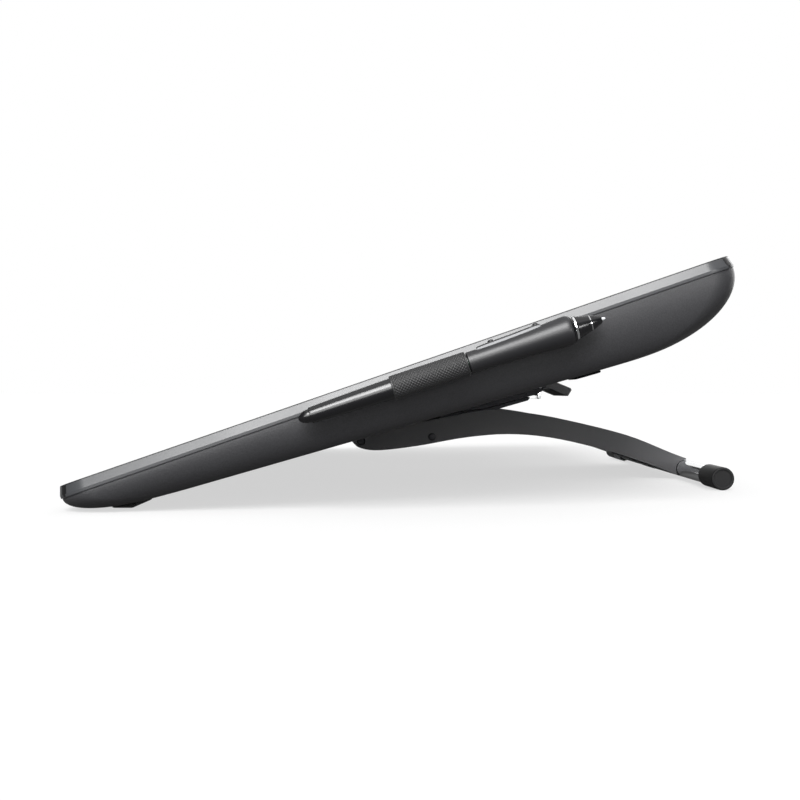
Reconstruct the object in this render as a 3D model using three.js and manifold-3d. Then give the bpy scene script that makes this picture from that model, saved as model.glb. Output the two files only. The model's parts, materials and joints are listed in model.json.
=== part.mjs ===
// A pen display on a bow-shaped folding stand, with its pen in a holder on the right side.
// Millimetres, +Z up. The user sits on the -Y side; +X is the user's right.
// Display coordinates: x to the right, y up the slope from the front edge, z out of the screen, which is
// at 0 on the top face.
import * as THREE from "three";
import { mergeVertices } from "three/addons/utils/BufferGeometryUtils.js";
import Module from "manifold-3d";

const wasm = await Module();
wasm.setup();

// ------------------------------------------------ driving dimensions
const rad = THREE.MathUtils.degToRad;
const GAP = 0.3; // between neighbours that touch
const RUNNING = 0.08; // radial play of a shaft in its bore

const TILT = rad(19.05); // slope of the screen at rest
const WIDTH = 650;
const DEPTH = 400;
const CORNER = 20;
const RIM = 7.1; // height of the bezel's rim
const CHAMFER = { drop: 5.2, inset: 1.9 };
const BEZEL_WALL = 3;
const BEZEL_ROOF = 2.5;

const WALL = 2.5; // rear housing
const BELLY = { front: 45, back: 58, side: 16, start: 21.2, slope: 0.0522, softer: 10 };
// How full the housing's edges are: 1 is an ellipse, less is squarer.
const FULLNESS = { front: 1.18, back: 0.93, side: 1.11 };
const HOUSING_TOP = -(RIM + GAP);
const HOUSING_INSET = 0.6;

const SCREEN = { width: 484, depth: 276, centre: 207 };
const KEY = { x: 284, centre: 210, pitch: 16, width: 16, depth: 12 };
const ROCKER_R = 7.6;
const POWER = { y: 330, radius: 3.6 };

const HINGE = { along: 159.5, drop: 9.0, shaft: 3 }; // on the underside, from the front edge
const PLATE = { half: 61, front: -14, back: 142, thick: 3, flange: 3 };
const COVER = { front: 64, back: 136, low: -15, skin: 2 };
const LEVER_PIN = { y: 146.5, z: -7.2, radius: 1.5, half: 60.5 };
const SCREW = { spacing: 100, first: 22, radius: 2, head: 4, headHeight: 2.2 };
const FRONT_FOOT = { x: 270, y: 33, halfX: 22, halfY: 7.8, round: 3 };
const REAR_PAD = { x: 285, halfX: 16, y0: 137, y1: 153, low: -1.6 };

const LEG = { half: 80, wall: 4, web: 2.4, knuckle: 7.6 };
const FRAME = { half: 74, thick: 2.6, start: 11, end: 218 }; // the steel frame inside the leg
const CLIP = { y: 200.4, tab: 9.8, strip: 34, x0: 14, x1: 44 };
const TUBE = { y: 249, z: -20.9, radius: 6.5, bore: 5.3, half: 176 }; // from the hinge axis
const CAP = { radius: 7.87, length: 34, end: 180 };

const PEN = { x: 334, tailY: 143.2, tailZ: -8.3, dip: rad(-0.79) };
const HOLDER = { from: 53.1, to: 95.8, radius: 6.75, bore: 6.0 };

// ------------------------------------------------ materials
const finish = (color, roughness, metalness = 0) => () =>
  new THREE.MeshStandardMaterial({ color, roughness, metalness });
const bezelPlastic = finish(0x4a4a4c, 0.45);
const housingPlastic = finish(0x2f2f31, 0.6);
const glassCoat = finish(0x15171a, 0.25);
const keyPlastic = finish(0x1f1f21, 0.5);
const boardGreen = finish(0x1f5a36, 0.6);
const steel = finish(0x9a9c9f, 0.4, 1);
const darkSteel = finish(0x3a3b3d, 0.5, 1);
const legPaint = finish(0x313133, 0.65);
const chrome = finish(0xe6e7e9, 0.08, 1);
const rubber = finish(0x1b1b1c, 0.85);
const penGloss = finish(0x1d1e20, 0.15);
const penRubber = finish(0x2a2a2c, 0.7);
const nibPlastic = finish(0xa9abae, 0.5);

// ------------------------------------------------ solids
function solid(geometry) {
  const bare = geometry.index ? geometry.toNonIndexed() : geometry.clone();
  bare.deleteAttribute("normal");
  bare.deleteAttribute("uv");
  const merged = mergeVertices(bare, 1e-4);
  const vertProperties = merged.attributes.position.array;
  const triVerts = new Uint32Array(merged.index.array);
  return new wasm.Manifold(new wasm.Mesh({ numProp: 3, vertProperties, triVerts }));
}

function geometryOf(manifold) {
  const mesh = manifold.getMesh();
  const geometry = new THREE.BufferGeometry();
  geometry.setAttribute("position", new THREE.BufferAttribute(mesh.vertProperties, 3));
  geometry.setIndex(new THREE.BufferAttribute(mesh.triVerts, 1));
  geometry.computeVertexNormals();
  return geometry;
}

const join = (first, ...others) => geometryOf(others.reduce((sum, g) => sum.add(solid(g)), solid(first)));
const cut = (first, ...others) =>
  geometryOf(others.reduce((rest, g) => rest.subtract(solid(g)), solid(first)));

function box(x0, x1, y0, y1, z0, z1) {
  const geometry = new THREE.BoxGeometry(x1 - x0, y1 - y0, z1 - z0);
  return geometry.translate((x0 + x1) / 2, (y0 + y1) / 2, (z0 + z1) / 2);
}

// A cylinder along x, y or z from one station to the other; the two others are its centre, in order.
function rod(axis, radius, from, to, a, b, sides = 32) {
  const geometry = new THREE.CylinderGeometry(radius, radius, to - from, sides);
  if (axis === "x") return geometry.rotateZ(Math.PI / 2).translate((from + to) / 2, a, b);
  if (axis === "y") return geometry.translate(a, (from + to) / 2, b);
  return geometry.rotateX(Math.PI / 2).translate(a, b, (from + to) / 2);
}

// A side-view outline of (y, z) points, made into a bar along x.
const SIDE_VIEW = new THREE.Matrix4().makeBasis(
  new THREE.Vector3(0, 1, 0),
  new THREE.Vector3(0, 0, 1),
  new THREE.Vector3(1, 0, 0),
);
function bar(outline, x0, x1) {
  const shape = new THREE.Shape(outline.map(([y, z]) => new THREE.Vector2(y, z)));
  const geometry = new THREE.ExtrudeGeometry(shape, { depth: x1 - x0, bevelEnabled: false });
  return geometry.translate(0, 0, x0).applyMatrix4(SIDE_VIEW);
}

// A plan outline of (x, y) points, made into a plate between two heights.
function plate(outline, z0, z1) {
  const shape = new THREE.Shape(outline.map(([x, y]) => new THREE.Vector2(x, y)));
  return new THREE.ExtrudeGeometry(shape, { depth: z1 - z0, bevelEnabled: false }).translate(0, 0, z0);
}

function arc(cx, cy, radius, from, to, steps) {
  return Array.from({ length: steps + 1 }, (_, i) => {
    const angle = from + ((to - from) * i) / steps;
    return [cx + radius * Math.cos(angle), cy + radius * Math.sin(angle)];
  });
}

// A rectangle with round corners, its long sides divided so that a curved floor can follow them.
function roundedOutline(half, y0, y1, radius, steps = 6, divisions = 1) {
  const quarter = Math.PI / 2;
  const corners = [
    arc(half - radius, y0 + radius, radius, -quarter, 0, steps),
    arc(half - radius, y1 - radius, radius, 0, quarter, steps),
    arc(radius - half, y1 - radius, radius, quarter, 2 * quarter, steps),
    arc(radius - half, y0 + radius, radius, 2 * quarter, 3 * quarter, steps),
  ];
  return corners.flatMap((corner, i) => {
    if (i % 2 === 1) return corner;
    const [x, from] = corner[corner.length - 1];
    const step = (corners[(i + 1) % 4][0][1] - from) / divisions;
    const between = Array.from({ length: divisions - 1 }, (_, k) => [x, from + step * (k + 1)]);
    return [...corner, ...between];
  });
}

// A closed solid through rings of points that run anticlockwise, from the lowest ring to the highest.
function loft(rings) {
  const count = rings[0].length;
  const positions = rings.flat(2);
  const index = [];
  for (let r = 0; r + 1 < rings.length; r += 1) {
    for (let i = 0; i < count; i += 1) {
      const next = (i + 1) % count;
      const a = r * count + i;
      const b = r * count + next;
      index.push(a, b, b + count, a, b + count, a + count);
    }
  }
  for (const [ring, turn] of [[0, -1], [rings.length - 1, 1]]) {
    const centre = positions.length / 3;
    const sum = rings[ring].reduce((s, p) => s.map((v, k) => v + p[k] / count), [0, 0, 0]);
    positions.push(...sum);
    for (let i = 0; i < count; i += 1) {
      const a = ring * count + i;
      const b = ring * count + ((i + 1) % count);
      index.push(...(turn > 0 ? [centre, a, b] : [centre, b, a]));
    }
  }
  const geometry = new THREE.BufferGeometry();
  geometry.setAttribute("position", new THREE.Float32BufferAttribute(positions, 3));
  geometry.setIndex(index);
  return geometry;
}

const turned = (profile, sides = 32) =>
  new THREE.LatheGeometry(profile.map(([r, y]) => new THREE.Vector2(r, y)), sides);

const tablet = new THREE.Group();
const display = new THREE.Group();
const underside = new THREE.Group();
const leg = new THREE.Group();
const penAxis = new THREE.Group();

function add(group, name, geometry, material) {
  const mesh = new THREE.Mesh(geometry, material());
  mesh.name = name;
  group.add(mesh);
}

// ------------------------------------------------ where the groups stand
const bellyAngle = Math.atan(BELLY.slope);
const floorOf = (y) => {
  const held = THREE.MathUtils.clamp(y, BELLY.front, DEPTH - BELLY.back);
  return -(BELLY.start + BELLY.slope * held);
};
underside.position.set(0, HINGE.along, floorOf(HINGE.along));
underside.rotation.x = -bellyAngle;
underside.updateMatrix();
const hingeInDisplay = new THREE.Vector3(0, 0, -HINGE.drop).applyMatrix4(underside.matrix);
const hingeRise = hingeInDisplay.clone().applyAxisAngle(new THREE.Vector3(1, 0, 0), TILT);
const hingeHeight = CAP.radius - TUBE.z;
leg.position.set(0, hingeRise.y, hingeHeight);
display.position.set(0, 0, hingeHeight - hingeRise.z);
display.rotation.x = TILT;
penAxis.position.set(PEN.x, PEN.tailY, PEN.tailZ);
penAxis.rotation.x = PEN.dip;
penAxis.updateMatrix();
display.updateMatrix();

// ------------------------------------------------ rear housing and bezel
const BELLY_RINGS = 9;
function bellySolid(wall, lift) {
  const margin = HOUSING_INSET + wall;
  const rings = [];
  for (let i = BELLY_RINGS; i >= 0; i -= 1) {
    const angle = (Math.PI / 2) * (i / BELLY_RINGS);
    const sunk = Math.sin(angle);
    const inward = (power) => 1 - Math.pow(Math.cos(angle), power);
    const front = margin + (BELLY.front - HOUSING_INSET) * inward(FULLNESS.front);
    const back = DEPTH - margin - (BELLY.back - HOUSING_INSET) * inward(FULLNESS.back);
    const half = WIDTH / 2 - margin - BELLY.side * inward(FULLNESS.side);
    const radius = CORNER + BELLY.softer * inward(FULLNESS.side) - wall / 2;
    const deep = (y) => HOUSING_TOP + (floorOf(y) + wall - HOUSING_TOP) * sunk;
    rings.push(roundedOutline(half, front, back, radius, 6, 8).map(([x, y]) => [x, y, deep(y)]));
  }
  if (lift > 0) rings.push(rings[rings.length - 1].map(([x, y, z]) => [x, y, z + lift]));
  return loft(rings);
}

const PORTS = { x0: -200, x1: -136, y0: 300, y1: 318 };
const NOTCH = { y0: 204, y1: 233, low: -12.4 };
const onUnderside = (geometry) => geometry.applyMatrix4(underside.matrix);
const screwPlaces = [-1, 1].flatMap((side) =>
  [SCREW.first, SCREW.first + SCREW.spacing].map((y) => [(side * SCREW.spacing) / 2, y]));

function rearHousing() {
  const holes = screwPlaces.map(([x, y]) => onUnderside(rod("z", 2.5, -6, 10, x, y, 16)));
  const window = box(PORTS.x0, PORTS.x1, PORTS.y0, PORTS.y1, -60, -30);
  const notch = box(WIDTH / 2 - 8, WIDTH / 2 + 2, NOTCH.y0, NOTCH.y1, NOTCH.low, 0);
  return cut(bellySolid(0, 0), bellySolid(WALL, 2), window, notch, ...holes);
}

function frontBezel() {
  const ring = (inset, z) =>
    roundedOutline(WIDTH / 2 - inset, inset, DEPTH - inset, CORNER - inset, 8).map(([x, y]) => [x, y, z]);
  const { drop, inset } = CHAMFER;
  const slope = [ring(0, -drop), ring(inset - 0.4, -0.5), ring(inset + 0.2, 0)];
  const outer = loft([ring(0.2, -RIM), ring(0, -RIM + 0.4), ...slope]);
  const inner = ring(BEZEL_WALL, 0);
  const hollow = plate(inner, -RIM - 2, -BEZEL_ROOF);
  const { width, depth, centre } = SCREEN;
  const window = box(-width / 2, width / 2, centre - depth / 2, centre + depth / 2, -9, 2);
  const slots = keyPlaces.map(({ x, y }) => {
    const halfX = KEY.width / 2 + GAP;
    const halfY = KEY.depth / 2 + GAP;
    return box(x - halfX, x + halfX, y - halfY, y + halfY, -5, 2);
  });
  const rockers = [-1, 1].map((side) => rod("z", ROCKER_R + 0.4, -5, 2, side * KEY.x, KEY.centre, 32));
  const power = rod("z", POWER.radius + GAP, -5, 2, KEY.x, POWER.y, 24);
  return cut(outer, hollow, window, ...slots, ...rockers, power);
}

const KEY_STEPS = [-2, -1, 1, 2];
const keyPlaces = [-1, 1].flatMap((side) =>
  KEY_STEPS.map((step, i) => ({
    name: `${side < 0 ? "left" : "right"}_key_${i + 1}`,
    x: side * KEY.x,
    y: KEY.centre + step * KEY.pitch + Math.sign(step) * 3,
  })));

// A key cap with the flange that keeps it under the bezel's roof.
function keyCap(x, y) {
  const halfX = KEY.width / 2;
  const halfY = KEY.depth / 2;
  const cap = box(x - halfX, x + halfX, y - halfY, y + halfY, -3.2, 0.6);
  return join(cap, box(x - halfX - 1, x + halfX + 1, y - halfY - 1, y + halfY + 1, -3.6, -2.9));
}

function rockerDisc(x) {
  const flange = rod("z", ROCKER_R + 0.9, -4.1, -3.3, x, KEY.centre);
  return join(rod("z", ROCKER_R, -3.5, 0.6, x, KEY.centre), flange);
}

function powerButton() {
  const { radius, y } = POWER;
  return join(rod("z", radius, -3.2, 0.4, KEY.x, y, 24), rod("z", radius + 1, -3.6, -2.9, KEY.x, y, 24));
}

// ------------------------------------------------ inside the display
const layer = (halfX, y0, y1, top, thick) => box(-halfX, halfX, y0, y1, top - thick, top);

function chassisPlate() {
  const holes = screwPlaces.map(([x, y]) => onUnderside(rod("z", 2.3, -6, 30, x, y, 16)));
  const sheet = layer(285, 46, 352, -15.5, 1.5);
  const ribs = [-1, 1].map((side) => box(side * 270 - 1, side * 270 + 1, 60, 340, -20, -16));
  return cut(join(sheet, ...ribs), ...holes);
}

function portBlock() {
  const { x0, x1, y0, y1 } = PORTS;
  const body = box(x0 + GAP, x1 - GAP, y0 + GAP, y1 - GAP, -35.5, -21);
  const middle = (y0 + y1) / 2;
  const video = box(x0 + 6, x0 + 31, middle - 4.5, middle + 4.5, -60, -27);
  const data = box(x0 + 37, x0 + 46, middle - 4.5, middle + 4.5, -60, -27);
  const powerJack = rod("z", 4.2, -60, -27, x0 + 55, middle, 20);
  return cut(body, video, data, powerJack);
}

// ------------------------------------------------ mounting plate and release, under the display
const hingeBore = () => rod("x", HINGE.shaft + RUNNING, -90, 90, 0, -HINGE.drop);
const pinBore = (clearance) =>
  rod("x", LEVER_PIN.radius + clearance, -70, 70, LEVER_PIN.y, LEVER_PIN.z, 20);

function mountingPlate() {
  const { half, front, back, thick, flange } = PLATE;
  const top = -GAP;
  const sheet = box(-half, half, front, back, top - thick, top);
  const cheek = [[44, top], [62, -6], [100, -11.5], [back, -12.3], [147.5, -10.8], [151, -8.5], [151, top]];
  const cheeks = [[-half, flange - half], [half - flange, half]].map(([x0, x1]) => bar(cheek, x0, x1));
  const ear = [[-9, top - 1], ...arc(0, -HINGE.drop, 4.9, Math.PI, 2 * Math.PI, 10), [9, top - 1]];
  const ears = [[-52, -46], [46, 52]].map(([x0, x1]) => bar(ear, x0, x1));
  const holes = screwPlaces.map(([x, y]) => rod("z", SCREW.radius + 0.4, -10, 2, x, y, 16));
  return cut(join(sheet, ...cheeks, ...ears), hingeBore(), pinBore(RUNNING), ...holes);
}

function mountingScrew([x, y]) {
  const low = -GAP - PLATE.thick - GAP;
  const shank = rod("z", SCREW.radius, low - 1, 12.5, x, y, 16);
  return join(shank, rod("z", SCREW.head, low - SCREW.headHeight, low, x, y, 20));
}

function hingeClutch() {
  const block = box(-18, 18, -6, 6, -9, -GAP - PLATE.thick - GAP);
  return cut(join(block, rod("x", 4.8, -18, 18, 0, -HINGE.drop)), hingeBore());
}

// A tray under the plate's cheeks, open towards the plate.
function releaseCover() {
  const { front, back, low, skin } = COVER;
  const half = PLATE.half - 0.5;
  const outer = [[front, -6.7], [front, low + 4], [front + 8, low], [back - 2, low], [back, low + 1.4],
    [back, -12.6], [100, -11.9]];
  const inner = [[front + skin, -2], [front + skin, low + 4.8], [front + 8.8, low + skin],
    [back - skin, low + skin], [back - skin, -2]];
  return cut(bar(outer, -half, half), bar(inner, PLATE.flange - half, half - PLATE.flange));
}

const releaseRod = () => box(-5, 5, 7, 141.3, -5.3, -3.8);

function releaseLever() {
  const hub = arc(LEVER_PIN.y, LEVER_PIN.z, 3.4, rad(60), rad(235), 8);
  const tip = arc(170.5, -16.8, 1.9, rad(-30), rad(40), 3);
  const paddle = [...hub, [155.5, -11], [162.2, -16.6], [168.2, -21.4], ...tip, [162.8, -8.3]];
  return cut(bar(paddle, -40, 40), pinBore(RUNNING));
}

const releaseCatch = () => bar([[147.3, -10.9], [150, -11], [148.1, -17.3], [145.4, -17.3]], -30, 30);

function leverSpring() {
  const coil = rod("x", 3, 44, 54, LEVER_PIN.y, LEVER_PIN.z, 20);
  return cut(coil, pinBore(GAP));
}

// ------------------------------------------------ stand leg, from the hinge axis
function along(points, steps) {
  const curve = new THREE.SplineCurve(points.map(([y, z]) => new THREE.Vector2(y, z)));
  return curve.getPoints(steps).map((p) => [p.x, p.y]);
}
const lowerEdge = along([[-7.5, 0.6], [-1, -5], [14.5, -6.8], [45, -3.2], [80, 3], [114.4, 5.6], [150, 2.2],
  [193.5, -8.3], [226.7, -19.4], [242.6, -25.6]], 40);
const upperEdge = along([[0.5, LEG.knuckle], [50, 15.6], [85, 22.4], [104.8, 24.3], [122, 22.8], [153, 17.6],
  [203, 5.3], [237.4, -8.3], [249.9, -13]], 36);
const saddle = arc(TUBE.y, TUBE.z, TUBE.radius + GAP, rad(235), rad(84), 9);

const edgeAt = (edge, y) => {
  const i = edge.findIndex((p, k) => k > 0 && p[0] >= y);
  const [a, b] = [edge[i - 1], edge[i]];
  return a[1] + ((b[1] - a[1]) * (y - a[0])) / (b[0] - a[0]);
};
const LEG_SCREW = { y: 54.5, z: 3.6, bore: 1.5, shank: 1.2, head: 2.9 };
const legBores = () => join(
  rod("x", HINGE.shaft + RUNNING, -90, 90, 0, 0),
  rod("x", LEG_SCREW.bore, -90, 90, LEG_SCREW.y, LEG_SCREW.z, 16),
);

function legShell() {
  const knuckle = arc(0, 0, LEG.knuckle, rad(95), rad(172), 6);
  const outline = [...lowerEdge, ...saddle, ...upperEdge.slice(1).reverse(), ...knuckle];
  const inner = LEG.half - LEG.wall;
  const floor = lowerEdge.filter(([y]) => y > 8 && y < 222).map(([y, z]) => [y, z + LEG.web]);
  const room = [[6, -9], ...floor, [222, 60], [-20, 60], [-20, -9]];
  return cut(bar(outline, -LEG.half, LEG.half), bar(room, -inner, inner), legBores());
}

// A steel tray along the leg's floor, with ears on the shaft and a tab for each side screw.
function legFrame() {
  const { half, thick, start, end } = FRAME;
  const base = LEG.web + GAP;
  const under = lowerEdge.filter(([y]) => y > start && y < end).map(([y, z]) => [y, z + base]);
  const sheet = bar([...under, ...under.map(([y, z]) => [y, z + thick]).reverse()], -half, half);
  const onFloor = (y, height) => [y, edgeAt(lowerEdge, y) + base + height];
  const ear = [...arc(0, 0, 5, rad(80), rad(290), 9), onFloor(16, 1), onFloor(34, 1), onFloor(34, 3)];
  const tab = [onFloor(46, 0), onFloor(54.5, 0), onFloor(63, 0), [63, 8.6], [46, 8.6]];
  const sides = [
    bar(ear, -69, -66),
    bar(ear, 66, 69),
    bar(tab, -half, 3 - half),
    bar(tab, half - 3, half),
  ];
  return cut(join(sheet, ...sides), legBores());
}

function legScrew(side) {
  const { y, z, head, shank } = LEG_SCREW;
  const disc = rod("x", head, LEG.half + GAP, LEG.half + 0.7, y, z, 20);
  const whole = join(disc, rod("x", shank, 68, LEG.half + 0.5, y, z, 16));
  return side < 0 ? whole.rotateZ(Math.PI).translate(0, 2 * y, 0) : whole;
}

function footTube() {
  const { radius, bore, half, y, z } = TUBE;
  return cut(rod("x", radius, -half, half, y, z, 40), rod("x", bore, -half - 1, half + 1, y, z, 40));
}

// A cup-shaped cap, turned about the tube's axis, its open end towards the leg.
function footCap(side) {
  const { radius, length, end } = CAP;
  const bore = TUBE.radius + GAP;
  const open = end - length;
  const bottom = TUBE.half + GAP;
  const outside = [[radius - 0.9, open], [radius, open + 1.2], [radius, end - 0.7], [7.2, end], [6.2, end]];
  const dish = [[5.6, end - 0.6], [0, end - 0.6]];
  const cap = turned([[0, bottom], [bore, bottom], [bore, open], ...outside, ...dish]);
  return cap.rotateZ(-side * Math.PI / 2).rotateX(Math.PI / 32).translate(0, TUBE.y, TUBE.z);
}

// A hook under the leg for the cables, with a flat strip that holds it.
function cableClip() {
  const { y, tab, strip, x0, x1 } = CLIP;
  const below = (step, depth) => [y + step, edgeAt(lowerEdge, y + step) - depth];
  const hook = [below(0, GAP), below(0.8, 2.8), below(2.5, 4), below(tab, 4), below(tab, 3.2), below(6, 3)];
  const flat = [below(6, 1.4), below(20, 1.3), below(strip, 1.3), below(strip, GAP), below(20, GAP)];
  return bar([...hook, ...flat], x0, x1);
}

// ------------------------------------------------ pen, along its own axis from the eraser's tip
const ERASER_END = 6.7;
function eraser() {
  const dome = arc(0, 4.4, 4.4, rad(-90), rad(0), 6).map(([r, y]) => [Math.max(r, 0), y]);
  return turned([...dome, [4.4, ERASER_END], [2.6, ERASER_END], [2.6, 15], [0, 15]]);
}

function penBarrel() {
  return turned([[3.2, 8], [4.45, 8], [4.9, 20], [5.45, 40], [5.7, 56], [5.75, 96.2], [3.2, 96.2], [3.2, 8]]);
}

function penGrip() {
  const side = along([[5.95, 96.5], [6.0, 108], [6.7, 130], [7.8, 146], [8.1, 152], [7.6, 154.6]], 14);
  const body = turned([[4.6, 96.5], ...side, [4.6, 154.6], [4.6, 96.5]]);
  return cut(body, box(-2.9, 2.9, 102, 140, 3.9, 12));
}

function sideSwitch() {
  const top = along([[103, 6.4], [105, 7.2], [121, 7.75], [137, 8.5], [139, 7.7]], 12);
  return bar([[103, 5.4], [121, 5.0], [139, 5.6], ...top.reverse()], -2.4, 2.4);
}

const penCore = () => turned([[0, 17], [2.9, 17], [2.9, 96.8], [4.2, 96.8], [4.2, 150], [0, 150]], 20);
const noseCollar = () => turned([[3.2, 154.9], [7.3, 154.9], [6.7, 155.8], [3.2, 155.8], [3.2, 154.9]]);
const noseRing = () => turned([[3.2, 156.1], [6.6, 156.1], [6.5, 157.3], [3.2, 157.3], [3.2, 156.1]]);
const noseCone = () =>
  turned([[1.15, 157.6], [6.25, 157.6], [4.3, 165], [2, 170.3], [1.15, 170.3], [1.15, 157.6]]);
const nib = () => turned([[0, 152], [0.8, 152], [0.8, 172.6], [0.5, 173.6], [0, 173.9]], 16);

function penHolder() {
  const sleeve = rod("y", HOLDER.radius, HOLDER.from, HOLDER.to, 0, 0, 40);
  const tongue = box(WIDTH / 2 - 4 - PEN.x, -5, 64, 86, -2.6, 0.4);
  return cut(join(sleeve, tongue), rod("y", HOLDER.bore, HOLDER.from - 2, HOLDER.to + 2, 0, 0, 40));
}

// ------------------------------------------------ feet, shaped to the housing
// A rubber bar with a flat underside at rest, trimmed to the housing's curve. World coordinates.
function frontFoot(side) {
  const { x, y, halfX, halfY, round } = FRONT_FOOT;
  const lifted = bellySolid(0, 0).translate(0, 0, -GAP).applyMatrix4(display.matrix);
  const front = arc(y - halfY + round, round, round, rad(180), rad(270), 4);
  const back = arc(y + halfY - round, round, round, rad(270), rad(360), 4);
  const middle = side * x;
  const block = bar([...front, ...back, [y + halfY, 9], [y - halfY, 9]], middle - halfX, middle + halfX);
  return cut(block, lifted);
}

function rearPad(side) {
  const { x, halfX, y0, y1, low } = REAR_PAD;
  const outline = roundedOutline(halfX, y0, y1, 5, 4).map(([px, y]) => [px + side * x, y]);
  return plate(outline, low, -GAP);
}

// ------------------------------------------------ assembly
add(display, "front_bezel", frontBezel(), bezelPlastic);
add(display, "rear_housing", rearHousing(), housingPlastic);
const glassHalf = SCREEN.width / 2 - GAP;
const glassFront = SCREEN.centre - SCREEN.depth / 2 + GAP;
const glassBack = SCREEN.centre + SCREEN.depth / 2 - GAP;
add(display, "screen_glass", layer(glassHalf, glassFront, glassBack, -0.2, 2.2), glassCoat);
add(display, "lcd_panel", layer(246, 65, 349, -3, 2.4), glassCoat);
add(display, "backlight_unit", layer(249, 62, 352, -5.8, 5), steel);
add(display, "pen_sensor_board", layer(252, 60, 354, -11.4, 1.2), boardGreen);
add(display, "chassis_plate", chassisPlate(), steel);
add(display, "main_board", box(-190, -62, 196, 292, -24, -22.2), boardGreen);
add(display, "power_board", box(62, 190, 196, 292, -24, -22.2), boardGreen);
add(display, "port_block", portBlock(), keyPlastic);
for (const side of [-1, 1]) {
  const label = side < 0 ? "left" : "right";
  const inner = side * KEY.x;
  add(display, `${label}_key_board`, box(inner - 14, inner + 14, 160, 260, -7.2, -5.8), boardGreen);
  add(display, `${label}_rocker`, rockerDisc(inner), keyPlastic);
  add(tablet, `front_foot_${label}`, frontFoot(side), rubber);
  add(underside, `rear_pad_${label}`, rearPad(side), rubber);
  add(leg, `foot_cap_${label}`, footCap(side), rubber);
  add(leg, `leg_screw_${label}`, legScrew(side), darkSteel);
}
for (const place of keyPlaces) add(display, place.name, keyCap(place.x, place.y), keyPlastic);
add(display, "power_button", powerButton(), keyPlastic);

add(underside, "mounting_plate", mountingPlate(), darkSteel);
screwPlaces.forEach((place, i) => add(underside, `mounting_screw_${i + 1}`, mountingScrew(place), steel));
add(underside, "hinge_clutch", hingeClutch(), steel);
add(underside, "release_cover", releaseCover(), darkSteel);
add(underside, "release_rod", releaseRod(), steel);
add(underside, "release_lever", releaseLever(), legPaint);
add(underside, "release_catch", releaseCatch(), chrome);
const { half: pinHalf, radius: pinRadius, y: pinY, z: pinZ } = LEVER_PIN;
add(underside, "lever_pin", rod("x", pinRadius, -pinHalf, pinHalf, pinY, pinZ, 20), steel);
add(underside, "lever_spring", leverSpring(), steel);

add(leg, "hinge_shaft", rod("x", HINGE.shaft, -79.7, 79.7, 0, 0), steel);
add(leg, "leg_shell", legShell(), legPaint);
add(leg, "leg_frame", legFrame(), darkSteel);
add(leg, "foot_tube", footTube(), chrome);
add(leg, "cable_clip", cableClip(), chrome);

add(penAxis, "pen_holder", penHolder(), penRubber);
add(penAxis, "pen_eraser", eraser(), penGloss);
add(penAxis, "pen_barrel", penBarrel(), penGloss);
add(penAxis, "pen_grip", penGrip(), penRubber);
add(penAxis, "pen_core", penCore(), boardGreen);
add(penAxis, "pen_side_switch", sideSwitch(), keyPlastic);
add(penAxis, "pen_nose_collar", noseCollar(), penGloss);
add(penAxis, "pen_nose_ring", noseRing(), chrome);
add(penAxis, "pen_nose_cone", noseCone(), penGloss);
add(penAxis, "pen_nib", nib(), nibPlastic);

display.add(underside, penAxis);
tablet.add(display, leg);

// The origin is the middle of the footprint, on the surface that the tablet stands on.
const extent = new THREE.Box3().setFromObject(tablet, true);
const middle = extent.getCenter(new THREE.Vector3());
for (const part of tablet.children) part.position.sub(new THREE.Vector3(middle.x, middle.y, 0));

export default tablet;
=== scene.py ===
"""Pen display on a bow-shaped folding stand, with its pen in a side holder.

Every piece is made in millimetres in the frame of the part it belongs to (display, underside, leg or pen),
and its mesh is then put in place in metres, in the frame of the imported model.
"""

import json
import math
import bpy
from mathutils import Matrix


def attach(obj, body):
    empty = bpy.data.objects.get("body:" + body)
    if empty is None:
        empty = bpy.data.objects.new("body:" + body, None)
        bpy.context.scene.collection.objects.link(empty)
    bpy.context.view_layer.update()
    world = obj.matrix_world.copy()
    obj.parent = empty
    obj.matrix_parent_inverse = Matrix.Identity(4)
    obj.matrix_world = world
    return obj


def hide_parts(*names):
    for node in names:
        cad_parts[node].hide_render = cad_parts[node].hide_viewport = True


bl_info = {
    "name": "Pen Display On A Stand",
    "version": (1, 0, 0),
    "blender": (4, 5, 0),
    "location": "View3D > Sidebar > Pen Display",
    "description": "Builds the visible pieces of a pen display, its stand and its pen",
    "category": "Add Mesh",
}

import bmesh
import bpy
from mathutils import Matrix, Vector

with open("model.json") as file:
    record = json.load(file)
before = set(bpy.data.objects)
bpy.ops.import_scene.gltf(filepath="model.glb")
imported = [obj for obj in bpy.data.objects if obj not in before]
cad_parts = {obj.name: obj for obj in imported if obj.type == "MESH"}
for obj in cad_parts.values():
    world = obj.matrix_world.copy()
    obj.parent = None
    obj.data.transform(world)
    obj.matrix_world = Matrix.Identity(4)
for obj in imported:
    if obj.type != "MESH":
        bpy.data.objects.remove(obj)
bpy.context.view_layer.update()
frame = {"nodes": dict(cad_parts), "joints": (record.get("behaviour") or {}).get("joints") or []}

MM = 0.001
JOINTS = {joint["name"]: joint for joint in frame["joints"]}


# ---- local frames
def turned(along):
    """From millimetres with y along a direction, to metres."""
    y = Vector(along).normalized()
    x = Vector((1, 0, 0))
    axes = Matrix((x, y, x.cross(y))).transposed().to_4x4()
    return axes @ Matrix.Scale(MM, 4)


def local_frame(joint, at, along):
    """The frame whose y runs along a direction, and in which the joint's axis passes through a point."""
    axes = turned(along)
    return Matrix.Translation(Vector(JOINTS[joint]["pos_m"]) - axes @ Vector(at)) @ axes


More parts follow.
